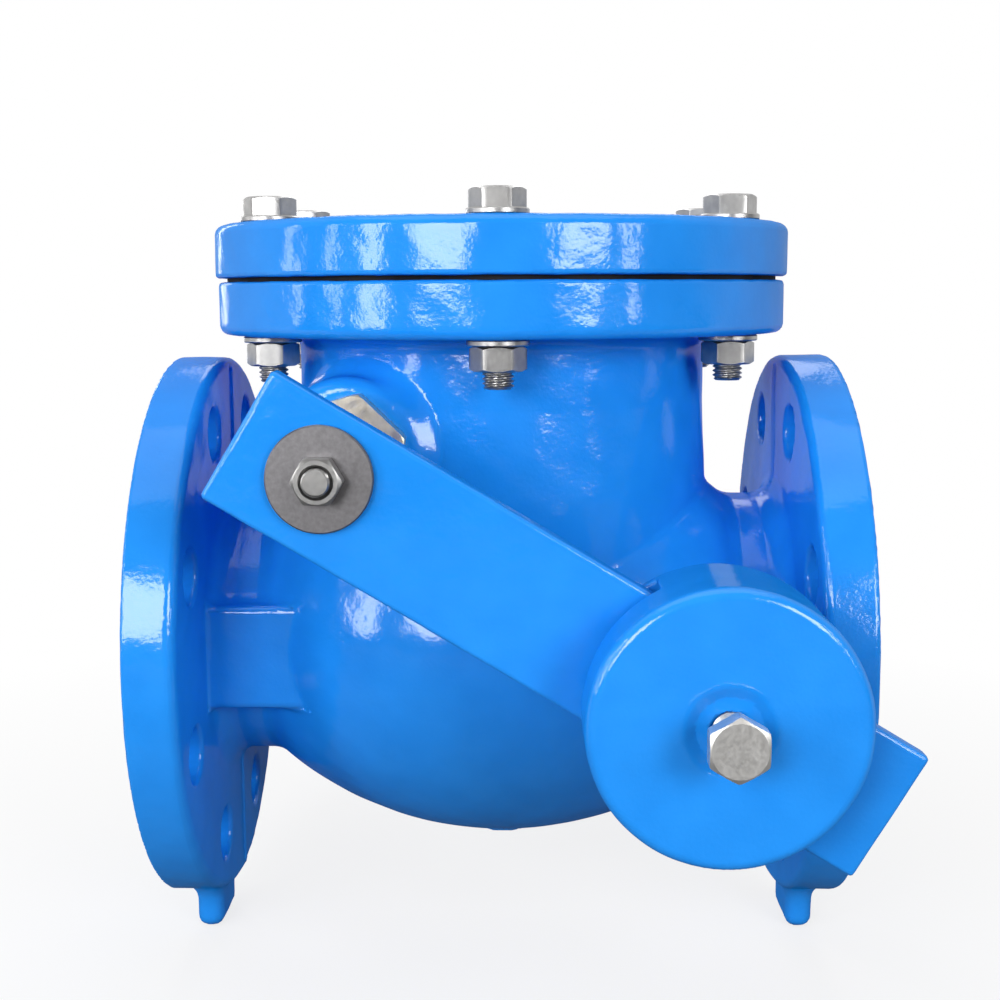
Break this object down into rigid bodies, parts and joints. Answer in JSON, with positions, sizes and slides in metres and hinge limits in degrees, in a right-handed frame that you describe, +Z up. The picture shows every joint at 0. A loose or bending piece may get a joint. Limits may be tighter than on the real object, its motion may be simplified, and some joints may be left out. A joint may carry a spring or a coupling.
{
  "type": "swing check valve",
  "caption": "Flanged swing check valve with a bolted top cover, an inner hinged disc on a bronze seat and an outside lever with a sliding counterweight.",
  "frame": {"origin": "centre of the inlet flange's face, on the pipe axis", "axes": "+X along the pipe with the flow, +Z up to the cover, -Y to the lever side"},
  "size_m": [0.2454, 0.2884, 0.2742],
  "materials": {
    "epoxy_blue": "thick glossy fusion-bonded epoxy on cast iron",
    "stainless": "stainless steel, turned and drawn",
    "brass": "dull machined brass",
    "bronze": "turned bronze",
    "gasket": "dark fibre sheet",
    "seal_rubber": "moulded black rubber"
  },
  "bodies": {
    "valve": {"body": "epoxy_blue", "seat_ring": "bronze", "cover": "epoxy_blue", "cover_gasket": "gasket", "cover_bolts": "stainless", "cover_washers": "stainless", "cover_nuts": "stainless", "front_bush": "bronze", "rear_bush": "bronze", "gland_packing": "gasket", "gland_nut": "brass", "rear_plug": "brass", "plug_gasket": "gasket"},
    "clapper": {"hinge_shaft": "stainless", "hinge_arm": "epoxy_blue", "arm_key": "stainless", "lever": "epoxy_blue", "lever_washer": "stainless", "lever_nut": "stainless"},
    "disc": {"disc": "epoxy_blue", "disc_seal": "seal_rubber", "seal_retainer": "stainless", "retainer_screws": "stainless", "disc_washer": "stainless", "disc_nut": "stainless", "split_pin": "stainless"},
    "weight": {"counterweight": "epoxy_blue", "clamp_bolt": "stainless"}
  },
  "joints": [
    {"name": "clapper_swing", "type": "hinge", "parent": "valve", "child": "clapper", "pos_m": [0.0705, 0, 0.0715], "axis": [0, -1, 0], "range_deg": [0, 60]},
    {"name": "disc_spin", "type": "hinge", "parent": "clapper", "child": "disc", "pos_m": [0.09, 0, 0], "axis": [1, 0, 0], "continuous": true},
    {"name": "weight_slide", "type": "slide", "parent": "clapper", "child": "weight", "axis": [0.8572, 0, -0.515], "range_m": [-0.06, 0.015]}
  ]
}
